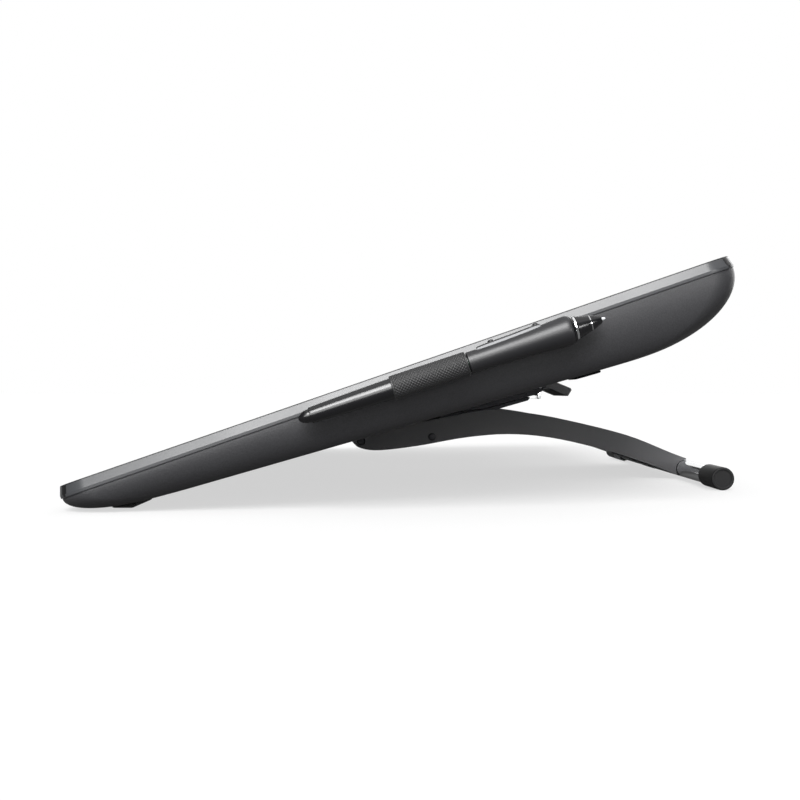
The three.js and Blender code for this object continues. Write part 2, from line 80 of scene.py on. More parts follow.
ACROSS = Vector((1, 0, 0))
KEY_PRESS = Vector(JOINTS["left_key_1_press"]["axis"])
DISPLAY = local_frame("left_rocker_tilt", (-284, 210, -3.5), ACROSS.cross(KEY_PRESS))
UNDERSIDE = local_frame("release_lever_hinge", (0, 146.5, -7.2), JOINTS["release_rod_slide"]["axis"])
LEG = local_frame("stand_hinge", (0, 0, 0), (0, 1, 0))
PEN = local_frame("pen_side_switch_rock", (0, 121, 6.2), JOINTS["pen_slide"]["axis"])


# ---- sizes and colours
def srgb(code):
    """A hex colour as the linear values that shaders use."""
    parts = [int(code[i : i + 2], 16) / 255 for i in (1, 3, 5)]
    return tuple(p / 12.92 if p <= 0.04045 else ((p + 0.055) / 1.055) ** 2.4 for p in parts)


def length(name, description, default):
    return bpy.props.FloatProperty(name=name, description=description, default=default * MM, unit="LENGTH")


def colour(name, description, code):
    return bpy.props.FloatVectorProperty(
        name=name, description=description, default=srgb(code), subtype="COLOR", size=3, min=0, max=1
    )


class TabletSizes(bpy.types.PropertyGroup):
    """Sizes of the display, the stand and the pen."""

    width: length("Width", "Display from left to right", 650)
    depth: length("Depth", "Display from front to back, along the screen", 400)
    corner: length("Corner", "Radius of the display's corners", 20)
    rim: length("Rim", "Height of the bezel's side", 7.1)
    chamfer: length("Chamfer", "Height of the sloping part of the bezel's side", 5.2)
    wall: length("Wall", "Thickness of the rear housing", 2.5)
    front_curve: length("Front Curve", "How far the housing's curve reaches in from the front", 45)
    back_curve: length("Back Curve", "How far the housing's curve reaches in from the back", 58)
    screen_width: length("Screen Width", "Glass from left to right", 484)
    screen_depth: length("Screen Depth", "Glass from front to back", 276)
    tube_radius: length("Foot Tube Radius", "Outside of the stand's foot tube", 6.5)
    cap_radius: length("Cap Radius", "Outside of the rubber caps on the foot tube", 7.87)
    knurl_pitch: length("Knurl Pitch", "Spacing of the diamonds on the pen holder", 1.9)
    knurl_height: length("Knurl Height", "Height of the diamonds on the pen holder", 0.38)
    spring_wire: length("Spring Wire", "Diameter of the lever spring's wire", 0.7)


class TabletColours(bpy.types.PropertyGroup):
    """Colours of the finishes."""

    bezel: colour("Bezel", "Satin grey bezel", "#3A3B3D")
    face: colour("Front Face", "Black film on the front of the bezel", "#101011")
    housing: colour("Housing", "Textured rear housing", "#323234")
    leg: colour("Leg", "Powder coat on the stand", "#434345")
    glass: colour("Glass", "Screen, switched off", "#0E1013")
    border: colour("Border", "Print round the screen", "#060607")
    keys: colour("Keys", "Keys, dials and switches", "#151517")
    lever: colour("Lever", "Release lever", "#5A5A5C")
    rubber: colour("Rubber", "Feet, pads and caps", "#0B0B0C")
    holder: colour("Holder", "Knurled pen holder", "#1B1B1C")
    pen: colour("Pen", "Polished parts of the pen", "#101012")
    grip: colour("Grip", "Soft grip of the pen", "#202022")
    nib: colour("Nib", "Tip of the pen", "#C9CBCD")
    oxide: colour("Black Oxide", "Blackened steel", "#343436")
    zinc: colour("Zinc", "Zinc-plated steel", "#B4B6B8")
    chrome: colour("Chrome", "Polished plating", "#F1F2F3")
    # The same light grey also stands for a painted highlight along the pen's side switch bar.
    clip: colour("Clip", "Painted cable clip", "#8D8E90")


def sizes():
    return bpy.context.scene.tablet_sizes


def colours():
    return bpy.context.scene.tablet_colours


def mm(value):
    """A size property in millimetres."""
    return value / MM


# ---- materials
def add_node(tree, kind, inputs=None, **settings):
    """One node with its settings, and each input set to a value or linked to a socket."""
    node = tree.nodes.new(kind)
    for name, value in settings.items():
        setattr(node, name, value)
    for key, value in (inputs or {}).items():
        if isinstance(value, bpy.types.NodeSocket):
            tree.links.new(value, node.inputs[key])
        else:
            node.inputs[key].default_value = value
    return node


def surface(name, base, roughness, **constants):
    """A new material with its principled shader."""
    material = bpy.data.materials.new(name)
    material.use_nodes = True
    tree = material.node_tree
    shader = tree.nodes["Principled BSDF"]
    shader.inputs["Base Color"].default_value = (*base, 1)
    shader.inputs["Roughness"].default_value = roughness
    for key, value in constants.items():
        shader.inputs[key.replace("_", " ")].default_value = value
    return material, tree, shader


NOISE_RANGE = (0.3, 0.7)
DRIFT = {"size": 45, "roughness": 0.03}


def grain(tree, size, detail=3.0, stretch=(1, 1, 1)):
    """Noise with features of a size in millimetres, on object coordinates."""
    coords = add_node(tree, "ShaderNodeTexCoord").outputs["Object"]
    mapped = add_node(tree, "ShaderNodeMapping", {"Vector": coords, "Scale": stretch}).outputs["Vector"]
    settings = {"Vector": mapped, "Scale": 1 / (size * MM), "Detail": detail, "Roughness": 0.55}
    return add_node(tree, "ShaderNodeTexNoise", settings).outputs["Fac"]


def spread(tree, value, low, high):
    """A noise pattern spread between two values."""
    darkest, lightest = NOISE_RANGE
    settings = {"Value": value, "From Min": darkest, "From Max": lightest, "To Min": low, "To Max": high}
    return add_node(tree, "ShaderNodeMapRange", settings).outputs["Result"]


def shade(tree, shader, base, value, amount):
    """Varies the colour a little, darker and lighter, with a pattern."""
    factor = spread(tree, value, 1 - amount, 1 + amount)
    settings = {0: base_colour(tree, base), "Scale": factor}
    tinted = add_node(tree, "ShaderNodeVectorMath", settings, operation="SCALE")
    tree.links.new(tinted.outputs["Vector"], shader.inputs["Base Color"])


def base_colour(tree, base):
    node = add_node(tree, "ShaderNodeRGB")
    node.outputs[0].default_value = (*base, 1)
    return node.outputs[0]


def emboss(tree, shader, height, depth):
    """A bump whose depth is in millimetres."""
    settings = {"Height": height, "Strength": 1.0, "Distance": depth * MM}
    bump = add_node(tree, "ShaderNodeBump", settings)
    tree.links.new(bump.outputs["Normal"], shader.inputs["Normal"])


def moulded(name, base, roughness, texture, depth, tint=0.06, IOR=1.5, **constants):
    """A moulded surface: fine eroded grain, and roughness and colour that drift a little."""
    material, tree, shader = surface(name, base, roughness, IOR=IOR, **constants)
    fine = grain(tree, texture)
    broad = grain(tree, DRIFT["size"], detail=1.0)
    low, high = roughness - DRIFT["roughness"], roughness + DRIFT["roughness"]
    tree.links.new(spread(tree, broad, low, high), shader.inputs["Roughness"])
    shade(tree, shader, base, fine, tint)
    emboss(tree, shader, fine, depth)
    return material


def satin_bezel():
    """Satin painted ABS: a light sheen that follows the slope of the rim, over a grain of about 0.6 mm.
    The real grain is finer, and is drawn coarse enough to show."""
    return moulded("satin_bezel_plastic", colours().bezel, 0.3, 0.6, 0.004, tint=0.1)


def front_face():
    """Black satin film over the front of the bezel: the same grain, with less sheen."""
    return moulded("black_front_film", colours().face, 0.45, 0.6, 0.002, tint=0.04, IOR=1.4)


def textured_housing():
    """Spark-eroded ABS: matt, with a soft broad highlight. The 0.3 mm grain is drawn at 0.8 mm to show."""
    return moulded("textured_housing_plastic", colours().housing, 0.46, 0.8, 0.08, tint=0.22)


def powder_coat():
    """Fine textured powder coat on aluminium: even, dark and nearly matt."""
    return moulded("leg_powder_coat", colours().leg, 0.5, 0.7, 0.05, tint=0.1)


def etched_glass():
    """Etched glass over a dark panel: deep black with a wide soft reflection."""
    material, tree, shader = surface("etched_screen_glass", colours().glass, 0.26, IOR=1.5)
    emboss(tree, shader, grain(tree, 0.5), 0.004)
    shade(tree, shader, colours().glass, grain(tree, 120, detail=1.0), 0.05)
    return material


def printed_border():
    """Black ceramic print under the glass: darker than the panel, with the same etched face."""
    material, tree, shader = surface("printed_glass_border", colours().border, 0.26, IOR=1.5)
    emboss(tree, shader, grain(tree, 0.5), 0.004)
    return material


def key_plastic():
    """Satin moulded ABS: a little smoother than the housing."""
    return moulded("satin_key_plastic", colours().keys, 0.4, 0.5, 0.015)


def lever_plastic():
    """Glass-filled nylon: matt, with a slightly cloudy surface."""
    return moulded("filled_nylon_lever", colours().lever, 0.48, 0.9, 0.03, tint=0.12, IOR=1.53)


def moulded_rubber():
    """Moulded rubber: dark and matt, with a dusty sheen at grazing angles."""
    return moulded("moulded_rubber", colours().rubber, 0.62, 0.7, 0.03, Sheen_Weight=0.03, Specular_IOR_Level=0.3)


def holder_rubber():
    """Firm rubber with a moulded diamond knurl. The knurl is in the mesh, coarser than real so that it shows."""
    return moulded("knurled_holder_rubber", colours().holder, 0.5, 0.4, 0.01, Sheen_Weight=0.08)


def soft_grip():
    """Soft-touch rubber: satin, so highlights spread along the grip."""
    return moulded("soft_touch_grip", colours().grip, 0.4, 0.35, 0.003, tint=0.04)


def polished_pen():
    """Polished black plastic: bright streaks with soft edges, and a trace of handling in the gloss."""
    constants = {"IOR": 1.53, "Coat_Weight": 0.15, "Coat_Roughness": 0.12}
    material, tree, shader = surface("polished_pen_plastic", colours().pen, 0.22, **constants)
    tree.links.new(spread(tree, grain(tree, 14), 0.2, 0.26), shader.inputs["Roughness"])
    return material


def nylon_nib():
    """Plain white nylon, slightly translucent to the eye and smooth."""
    return moulded("nylon_nib", colours().nib, 0.38, 0.4, 0.004, tint=0.02, IOR=1.53)


def metal(name, base, roughness, texture, depth, stretch=(1, 1, 1)):
    """A metal whose roughness and height follow one drawn-out grain."""
    material, tree, shader = surface(name, base, roughness, Metallic=1.0)
    lines = grain(tree, texture, stretch=stretch)
    tree.links.new(spread(tree, lines, roughness * 0.85, roughness * 1.2), shader.inputs["Roughness"])
    emboss(tree, shader, lines, depth)
    return material


def polished_chrome():
    """Bright chrome plating: near mirror, with the faint waviness of polished tube."""
    return metal("polished_chrome", colours().chrome, 0.07, 9, 0.004, stretch=(0.3, 1, 1))


def zinc_steel():
    """Zinc-plated steel: pale, with a fine grain along the rolling direction."""
    return metal("zinc_plated_steel", colours().zinc, 0.34, 1.2, 0.01, stretch=(0.15, 1, 1))


def black_oxide():
    """Black-oxide steel: dark, with a low oily gloss."""
    return metal("black_oxide_steel", colours().oxide, 0.42, 1.0, 0.01)


def clip_paint_and_switch_highlight():
    """Grey painted spring steel: satin and even. The same light grey on the pen's side switch bar is a painted
    highlight.
    """
    return moulded("grey_clip_paint_and_switch_highlight", colours().clip, 0.35, 0.6, 0.008, tint=0.04)


def solder_mask():
    """Green coating over a circuit board, with the copper's faint relief."""
    return moulded("circuit_board_mask", srgb("#1D5234"), 0.35, 2.5, 0.03, tint=0.2)


def backlight_white():
    """White diffuser tray of the backlight."""
    return moulded("backlight_tray", srgb("#D8D9DA"), 0.5, 1.0, 0.01)


FINISHES = {}


def finish(make):
    """The material that a finish function makes, made once."""
    if make.__name__ not in FINISHES:
        FINISHES[make.__name__] = make()
    return FINISHES[make.__name__]


# ---- shapes, in millimetres
def arc(cx, cy, radius, start, end, steps):
    """Points on an arc, with its angles in degrees."""
    angles = [math.radians(start + (end - start) * i / steps) for i in range(steps + 1)]
    return [(cx + radius * math.cos(a), cy + radius * math.sin(a)) for a in angles]


def spline(points, per_span=8):
    """A smooth curve through points, with its ends kept."""
    ends = [points[0], *points, points[-1]]
    curve = []
    for a, b, c, d in zip(ends, ends[1:], ends[2:], ends[3:]):
        for i in range(per_span):
            t = i / per_span
            weights = (-t + 2 * t**2 - t**3, 2 - 5 * t**2 + 3 * t**3, t + 4 * t**2 - 3 * t**3, t**3 - t**2)
            curve.append(tuple(sum(w * p[k] for w, p in zip(weights, (a, b, c, d))) / 2 for k in (0, 1)))
    return [*curve, points[-1]]


def rounded_outline(half, y0, y1, radius, steps=14, divisions=1):
    """A rectangle with round corners, its two sides along y divided so that they can curve."""
    corners = [
        arc(half - radius, y0 + radius, radius, -90, 0, steps),
        arc(half - radius, y1 - radius, radius, 0, 90, steps),
        arc(radius - half, y1 - radius, radius, 90, 180, steps),
        arc(radius - half, y0 + radius, radius, 180, 270, steps),
    ]
    outline = []
    for i, corner in enumerate(corners):
        outline += corner
        if i % 2 == 0:
            (x, start), end = corner[-1], corners[(i + 1) % 4][0][1]
            outline += [(x, start + (end - start) * k / divisions) for k in range(1, divisions)]
    return outline


def plate(half_x, half_y, radius, steps, centre=(0, 0), inset=0):
    """A rectangle with round corners about a centre, drawn in by an inset."""
    outline = rounded_outline(half_x - inset, inset - half_y, half_y - inset, radius, steps)
    return [(x + centre[0], y + centre[1]) for x, y in outline]


def rod(radius, half, chamfer, bore=0):
    """The profile of a bar or tube with chamfered ends."""
    low, high, narrow = chamfer - half, half - chamfer, radius - chamfer
    return [(bore, -half), (narrow, -half), (radius, low), (radius, high), (narrow, half), (bore, half)]


def linked(name, data):
    """A new object in the scene."""
    item = bpy.data.objects.new(name, data)
    bpy.context.scene.collection.objects.link(item)
    return item


def new_piece(name, points, faces, place, material):
    """A mesh object at the origin, with its points put in place."""
    mesh = bpy.data.meshes.new(name)
    mesh.from_pydata([place @ Vector(p) for p in points], [], faces)
    mesh.validate()
    mesh.materials.append(finish(material))
    return linked(name, mesh)


def loft(rings, closed=False):
    """Points and faces through rings of points. Open lofts get an end face at each end."""
    count = len(rings[0])
    points = [p for ring in rings for p in ring]
    faces = []
    spans = len(rings) if closed else len(rings) - 1
    for r in range(spans):
        low, high = r * count, ((r + 1) % len(rings)) * count
        for i in range(count):
            j = (i + 1) % count
            faces.append((low + i, low + j, high + j, high + i))
    if not closed:
        faces.append(tuple(reversed(range(count))))
        faces.append(tuple(range(len(points) - count, len(points))))
    return points, faces


def turned_piece(name, profile, place, material, steps=96, axis="y"):
    """A solid of revolution through (radius, station) points. A radius of 0 makes a pole."""
    angles = [2 * math.pi * i / steps for i in range(steps)]
    points, faces, starts = [], [], []
    for radius, station in profile:
        starts.append((len(points), 1 if radius < 1e-6 else steps))
        around = [0.0] if radius < 1e-6 else angles
        for a in around:
            u, v = radius * math.cos(a), radius * math.sin(a)
            points.append({"x": (station, u, v), "y": (v, station, u), "z": (u, v, station)}[axis])
    closed = profile[0][0] > 1e-6
    pairs = list(zip(starts, starts[1:])) + ([(starts[-1], starts[0])] if closed else [])
    for (a, count_a), (b, count_b) in pairs:
        for i in range(steps):
            j = (i + 1) % steps
            if count_a == 1:
                faces.append((a, b + i, b + j))
            elif count_b == 1:
                faces.append((a + i, b, a + j))
            else:
                faces.append((a + i, b + i, b + j, a + j))
    piece = new_piece(name, points, faces, place, material)
    outwards(piece.data)
    return piece


def outwards(mesh):
    """Turns every face to point out of its closed body."""
    body = bmesh.new()
    body.from_mesh(mesh)
    bmesh.ops.recalc_face_normals(body, faces=body.faces)
    body.to_mesh(mesh)
    body.free()


def solid(name, rings, place, material, closed=False):
    """A closed body lofted through rings."""
    piece = new_piece(name, *loft(rings, closed), place, material)
    outwards(piece.data)
    return piece


def prism(name, outline, half, place, material):
    """A side-view outline of (y, z) points made into a bar along x."""
    return solid(name, [[(x, y, z) for y, z in outline] for x in (-half, half)], place, material)


def level(outline, z):
    """A plan outline of (x, y) points, at a height."""
    return [(x, y, z) for x, y in outline]


def slab(name, outline, z0, z1, place, material):
    """A plan outline made into a plate."""
    return solid(name, [level(outline, z0), level(outline, z1)], place, material)


def applied(piece):
    """Makes the modifiers' result the piece's own mesh."""
    graph = bpy.context.evaluated_depsgraph_get()
    mesh = bpy.data.meshes.new_from_object(piece.evaluated_get(graph))
    piece.modifiers.clear()
    piece.data = mesh
    return piece


def carve(piece, *tools, operation="DIFFERENCE"):
    """Cuts closed tools out of a piece, or joins them to it, and removes them."""
    for tool in tools:
        modifier = piece.modifiers.new("carve", "BOOLEAN")
        modifier.operation = operation
        modifier.solver = "EXACT"
        modifier.object = tool
    applied(piece)
    for tool in tools:
        bpy.data.objects.remove(tool)
    return piece


def smooth(piece, angle=34):
    """Smooth shading that breaks at real edges."""
    piece.data.polygons.foreach_set("use_smooth", [True] * len(piece.data.polygons))
    piece.data.set_sharp_from_angle(angle=math.radians(angle))
    return piece


def round_edges(piece, width, segments=3, angle=34):
    """Rounds the real edges, and keeps the flat faces flat."""
    piece.data.polygons.foreach_set("use_smooth", [True] * len(piece.data.polygons))
    bevel = piece.modifiers.new("rounded_edges", "BEVEL")
    bevel.width = width * MM
    bevel.segments = segments
    bevel.limit_method = "ANGLE"
    bevel.angle_limit = math.radians(angle)
    bevel.use_clamp_overlap = True
    bevel.miter_outer = "MITER_ARC"
    weighted = piece.modifiers.new("flat_faces", "WEIGHTED_NORMAL")
    weighted.keep_sharp = True
    return applied(piece)


def mount(piece, body, slot, *nodes):
    """Attaches the piece to the body that carries it, and hides the nodes that it stands for. The slot, its finish in
    the record, is not used.
    """
    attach(piece, body)
    if nodes:
        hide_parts(*nodes)
    return piece


def fitted(node, material, width, body, slot, angle=34, suffix="shape"):
    """The node's own shape in its place, with merged faces and rounded edges."""
    piece = linked(f"{node}_{suffix}", frame["nodes"][node].data.copy())
    raw = bmesh.new()
    raw.from_mesh(piece.data)
    bmesh.ops.remove_doubles(raw, verts=raw.verts, dist=0.01 * MM)
    bmesh.ops.dissolve_limit(raw, angle_limit=math.radians(0.6), verts=raw.verts, edges=raw.edges)
    raw.to_mesh(piece.data)
    raw.free()
    repaint(piece.data, material)
    return mount(round_edges(piece, width, angle=angle), body, slot, node)


def repaint(mesh, material):
    """Gives a mesh one finish in place of its own."""
    mesh.materials.clear()
    mesh.materials.append(finish(material))


# ---- geometry node trees
def node_group(name, sockets):
    """A geometry tree with a geometry input and named float inputs."""
    tree = bpy.data.node_groups.new(name, "GeometryNodeTree")
    tree.interface.new_socket("Geometry", in_out="INPUT", socket_type="NodeSocketGeometry")
    for label, kind in sockets:
        tree.interface.new_socket(label, in_out="INPUT", socket_type=kind)
    tree.interface.new_socket("Geometry", in_out="OUTPUT", socket_type="NodeSocketGeometry")
    return tree, add_node(tree, "NodeGroupInput"), add_node(tree, "NodeGroupOutput")


def run_tree(name, tree, values, base=None):
    """Runs a geometry tree on an object and keeps the result as a plain mesh."""
    piece = base or linked(name, bpy.data.meshes.new(name))
    modifier = piece.modifiers.new(name, "NODES")
    modifier.node_group = tree
    inputs = {s.name: s.identifier for s in tree.interface.items_tree if s.in_out == "INPUT"}
    for label, value in values.items():
        modifier[inputs[label]] = value
    return applied(piece)


def finish_tree(tree, geometry, output, material):
    """Real geometry with its material, as the tree's result."""
    real = add_node(tree, "GeometryNodeRealizeInstances", {"Geometry": geometry}).outputs["Geometry"]
    settings = {"Geometry": real, "Material": finish(material)}
    painted = add_node(tree, "GeometryNodeSetMaterial", settings).outputs["Geometry"]
    tree.links.new(painted, output.inputs["Geometry"])


# ---- display
HOUSING_TOP = -7.4
HOUSING_INSET = 0.6
SIDE_CURVE = 16
CORNER_GROWTH = 10
FLOOR_START, FLOOR_SLOPE = 21.2, 0.0522
FULLNESS = {"front": 1.28, "back": 0.93, "side": 1.11}
HOUSING_RINGS = 30
CORNER_STEPS = 24
PORTS = {"centre": (-168, 309), "half_x": 32, "half_y": 9, "low": -60, "high": -28}
# The strip that closes the seam between the bezel and the housing.
LIP = {"out": 0.9, "in": 3.0, "low": -7.4, "high": -7.1}
# The cut in the housing's side for the pen holder's tongue.
NOTCH = {"half_x": 5.5, "half_y": 14.5, "past_side": 2.5, "y": 218.5, "low": -12.4, "high": 2}


def held(y, low, high, ease=14):
    """A station kept between two others, with its ends eased so that no crease shows."""
    if y < low + ease:
        return low + max(y - low + ease, 0) ** 2 / (4 * ease)
    if y > high - ease:
        return high - max(high + ease - y, 0) ** 2 / (4 * ease)
    return y


def housing_rings(wall):
    """Rings of the housing's surface, or of its inside, from the floor up."""
    s = sizes()
    margin = HOUSING_INSET + wall
    low, high = mm(s.front_curve), mm(s.depth - s.back_curve)
    rings = []
    for i in range(HOUSING_RINGS, -1, -1):
        angle = math.pi / 2 * i / HOUSING_RINGS
        inward = {edge: 1 - abs(math.cos(angle)) ** power for edge, power in FULLNESS.items()}
        front = margin + (low - HOUSING_INSET) * inward["front"]
        back = mm(s.depth) - margin - (mm(s.back_curve) - HOUSING_INSET) * inward["back"]
        half = mm(s.width) / 2 - margin - SIDE_CURVE * inward["side"]
        radius = mm(s.corner) + CORNER_GROWTH * inward["side"] - wall / 2
        ring = []
        for x, y in rounded_outline(half, front, back, radius, divisions=22):
            floor = -(FLOOR_START + FLOOR_SLOPE * held(y, low, high))
            ring.append((x, y, HOUSING_TOP + (floor + wall - HOUSING_TOP) * math.sin(angle)))
        rings.append(ring)
    return rings


def strips_across(start, count, upwards):
    """Faces that close a left-right symmetric ring with strips."""
    strips = [(start + k, start + k + 1, start + count - 2 - k, start + count - 1 - k) for k in range(count // 2 - 1)]
    return strips if upwards else [tuple(reversed(f)) for f in strips]


def display_ring(inset, z):
    """The display's outline, drawn in by an inset, at a height."""
    s = sizes()
    half, back, corner = mm(s.width) / 2 - inset, mm(s.depth) - inset, mm(s.corner) - inset
    return level(rounded_outline(half, inset, back, corner, CORNER_STEPS), z)


class TABLET_OT_housing(bpy.types.Operator):
    """Rear housing, with its curved edges, its wall, the port window and the holder's notch"""

    bl_idname = "tablet.housing"
    bl_label = "Rear Housing"

    def execute(self, context):
        rings = housing_rings(0) + list(reversed(housing_rings(mm(sizes().wall))))
        points, faces = loft(rings)
        count = len(rings[0])
        faces = faces[:-2] + strips_across(0, count, False) + strips_across(len(points) - count, count, True)
        housing = new_piece("housing_shell", points, faces, DISPLAY, textured_housing)
        outline = plate(PORTS["half_x"], PORTS["half_y"], 3, 6, PORTS["centre"])
        window = slab("window", outline, PORTS["low"], PORTS["high"], DISPLAY, textured_housing)
        x, half_x, half_y = mm(sizes().width) / 2 - NOTCH["past_side"], NOTCH["half_x"], NOTCH["half_y"]
        around = ((-1, -1), (1, -1), (1, 1), (-1, 1))
        outline = [(x + half_x * i, NOTCH["y"] + half_y * j) for i, j in around]
        notch = slab("notch", outline, NOTCH["low"], NOTCH["high"], DISPLAY, textured_housing)
        smooth(carve(housing, window, notch))
        mount(housing, "display", "housing_plastic", "rear_housing")
        fitted("port_block", key_plastic, 0.3, "display", "key_plastic")
        section = (("out", "low"), ("out", "high"), ("in", "high"), ("in", "low"))
        rings = [display_ring(LIP[inset], LIP[z]) for inset, z in section]
        lip = smooth(solid("housing_seam_lip", rings, DISPLAY, textured_housing, closed=True))
        mount(lip, "display", "housing_plastic")
        return {"FINISHED"}


KEYS = {"x": 284, "centre": 210, "pitch": 16, "extra": 3, "half_x": 8, "half_y": 6}
SCREEN_CENTRE = (0, 207)
DIAL_RADIUS = 7.6
POWER_KEY = {"y": 330, "radius": 3.6}
SEAM = 0.3
# The black film covers the bezel above a height, and the walls of its openings.
FILM = {"above": -0.6, "inside": 5, "walls_above": -6}


def key_centres():
    """Each key's name, and its centre on the face."""
    for side, label in ((-1, "left"), (1, "right")):
        for number, step in enumerate((-2, -1, 1, 2), start=1):
            y = KEYS["centre"] + step * KEYS["pitch"] + math.copysign(KEYS["extra"], step)
            yield f"{label}_key_{number}", side * KEYS["x"], y


def flared(outline, z0, z1, flare=0.35):
    """A cutter whose last stretch widens, so that it leaves a small chamfer round its hole."""
    cx = sum(x for x, _ in outline) / len(outline)
    cy = sum(y for _, y in outline) / len(outline)
    wide = [(x + math.copysign(flare * 2, x - cx), y + math.copysign(flare * 2, y - cy)) for x, y in outline]
    rings = [level(outline, z0), level(outline, -flare), level(wide, flare), level(wide, z1)]
    return solid("cutter", rings, DISPLAY, satin_bezel)


class TABLET_OT_bezel(bpy.types.Operator):
    """Front bezel: a frame with a sloping side, and openings for the screen, the keys and the dials"""

    bl_idname = "tablet.bezel"
    bl_label = "Front Bezel"

    def execute(self, context):
        s = sizes()
        rim, chamfer, inside = mm(s.rim), mm(s.chamfer), 3
        under = [(inside, -2.5), (inside, -rim)]
        side = [(0.45, -rim), (0.12, -rim + 0.12), (0, -rim + 0.45), (0, -chamfer)]
        top = [(1.5, -0.6), (1.64, -0.25), (1.88, -0.06), (2.2, 0)]
        rings = [display_ring(*at) for at in (*under, *side, *top)]
        bezel = solid("bezel_frame", rings, DISPLAY, satin_bezel)
        bezel.data.materials.append(finish(front_face))
        outline = plate(mm(s.screen_width) / 2, mm(s.screen_depth) / 2, 1.2, 4, SCREEN_CENTRE)
        tools = [flared(outline, -9, 3)]
        holes = [plate(KEYS["half_x"], KEYS["half_y"], 1.6, 5, (x, y), -SEAM) for _, x, y in key_centres()]
        holes += [arc(x, KEYS["centre"], DIAL_RADIUS + 0.4, 0, 354, 59) for x in (-KEYS["x"], KEYS["x"])]
        holes.append(arc(KEYS["x"], POWER_KEY["y"], POWER_KEY["radius"] + SEAM, 0, 350, 35))
        tools += [flared(hole, -5, 3, 0.2) for hole in holes]
        smooth(carve(bezel, *tools), 12)
        to_local = DISPLAY.inverted()
        for face in bezel.data.polygons:
            x, y, z = to_local @ face.center
            inset = min(mm(s.width) / 2 - abs(x), y, mm(s.depth) - y)
            on_wall = inset > FILM["inside"] and z > FILM["walls_above"]
            face.material_index = int(z > FILM["above"] or on_wall)
        mount(bezel, "display", "bezel_plastic", "front_bezel")
        return {"FINISHED"}


class TABLET_OT_screen(bpy.types.Operator):
    """Screen glass with its printed border, and finishes for the modules behind it"""

    bl_idname = "tablet.screen"
    bl_label = "Screen"

    def execute(self, context):
        s = sizes()
        half_x, half_y = mm(s.screen_width) / 2 - SEAM, mm(s.screen_depth) / 2 - SEAM
        levels = [(0.35, -2.4), (0, -2.05), (0, -0.55), (0.1, -0.3), (0.35, -0.2), (4.2, -0.2)]
        rings = [level(plate(half_x, half_y, 1, 4, SCREEN_CENTRE, inset), z) for inset, z in levels]
        glass = new_piece("glass_sheet", *loft(rings), DISPLAY, printed_border)
        glass.data.materials.append(finish(etched_glass))
        glass.data.polygons[len(glass.data.polygons) - 1].material_index = 1
        mount(smooth(glass), "display", "screen_glass", "screen_glass")
        boards = ("pen_sensor", "main", "power", "left_key", "right_key")
        carried = {
            etched_glass: ("lcd_panel",),
            backlight_white: ("backlight_unit",),
            zinc_steel: ("chassis_plate",),
            solder_mask: (*(f"{board}_board" for board in boards), "pen_core"),
        }
        for material, nodes in carried.items():
            for node in nodes:
                repaint(frame["nodes"][node].data, material)
        return {"FINISHED"}


class TABLET_OT_keys(bpy.types.Operator):
    """Keys, dials and the power button, each on its own body"""

    bl_idname = "tablet.keys"
    bl_label = "Keys And Dials"

    def execute(self, context):
        levels = ((-1, -3.6), (-1, -2.95), (0, -2.9), (0, 0.1), (0.12, 0.42), (0.5, 0.6), (2.4, 0.5))
        for name, x, y in key_centres():
            rings = [level(plate(KEYS["half_x"], KEYS["half_y"], 1.5, 6, (x, y), inset), z) for inset, z in levels]
            key = smooth(new_piece(f"{name}_cap", *loft(rings), DISPLAY, key_plastic), 50)
            mount(key, name, "key_plastic", name)
        r = DIAL_RADIUS
        dish = spline([(r - 1.4, 0.5), (r * 0.5, 0.05), (1.4, -0.1)], 6)
        dial = [(0, -4.1), (r + 0.9, -4.1), (r + 0.9, -3.3), (r, -3.2), (r, 0.1), (r - 0.15, 0.45), (r - 0.5, 0.6),
                *dish, (1.2, 0.15), (0.7, 0.3), (0, 0.34)]
        r = POWER_KEY["radius"]
        button = [(0, -3.6), (r + 1, -3.6), (r + 1, -2.9), (r, -2.85), (r, 0), (r - 0.12, 0.28), (r - 0.4, 0.4),
                  (0, 0.25)]
        for name, node, profile, x, y in (
            ("left_dial", "left_rocker", dial, -KEYS["x"], KEYS["centre"]),
            ("right_dial", "right_rocker", dial, KEYS["x"], KEYS["centre"]),
            ("power_button_cap", "power_button", button, KEYS["x"], POWER_KEY["y"]),
        ):
            place = DISPLAY @ Matrix.Translation((x, y, 0))
            mount(smooth(turned_piece(name, profile, place, key_plastic, axis="z")), node, "key_plastic", node)
        return {"FINISHED"}


class TABLET_OT_feet(bpy.types.Operator):
    """Front feet and rear pads of the display"""

    bl_idname = "tablet.feet"
    bl_label = "Feet And Pads"

    def execute(self, context):
        for node in ("front_foot_left", "front_foot_right", "rear_pad_left", "rear_pad_right"):
            fitted(node, moulded_rubber, 1.8, "display", "rubber", angle=40, suffix="rubber")
        return {"FINISHED"}


# ---- mounting plate, hinge and release
PIN = {"y": 146.5, "z": -7.2, "radius": 1.5, "half": 60.5}
SCREWS = {"across": 50, "near": 22, "far": 122, "seat": -3.6}
PLATE_SCREW = {"head": 4, "rise": 2.2, "shank": 2, "tip": 16.1, "socket": 1.5}
SPRING = {"x": 44.4, "radius": 3, "length": 9.2, "turns": 10.0}


def screw(name, size, place, material):
    """A pan-head screw with a hexagon socket. Its head stands down from 0, and its shank goes up."""
    head, rise, shank, tip, socket = (size[key] for key in ("head", "rise", "shank", "tip", "socket"))
    profile = [(0, -rise), (head * 0.62, -rise), (head * 0.86, -rise * 0.84), (head, -rise * 0.42), (head, -0.1),
               (head - 0.1, 0), (shank, 0), (shank, tip - 0.6), (shank - 0.5, tip), (0, tip)]
    body = turned_piece(name, profile, place, material, 48, "z")
    hexagon = arc(0, 0, socket, 0, 300, 5)
    return smooth(carve(body, slab("hexagon", hexagon, -rise - 1, -rise * 0.35, place, material)))


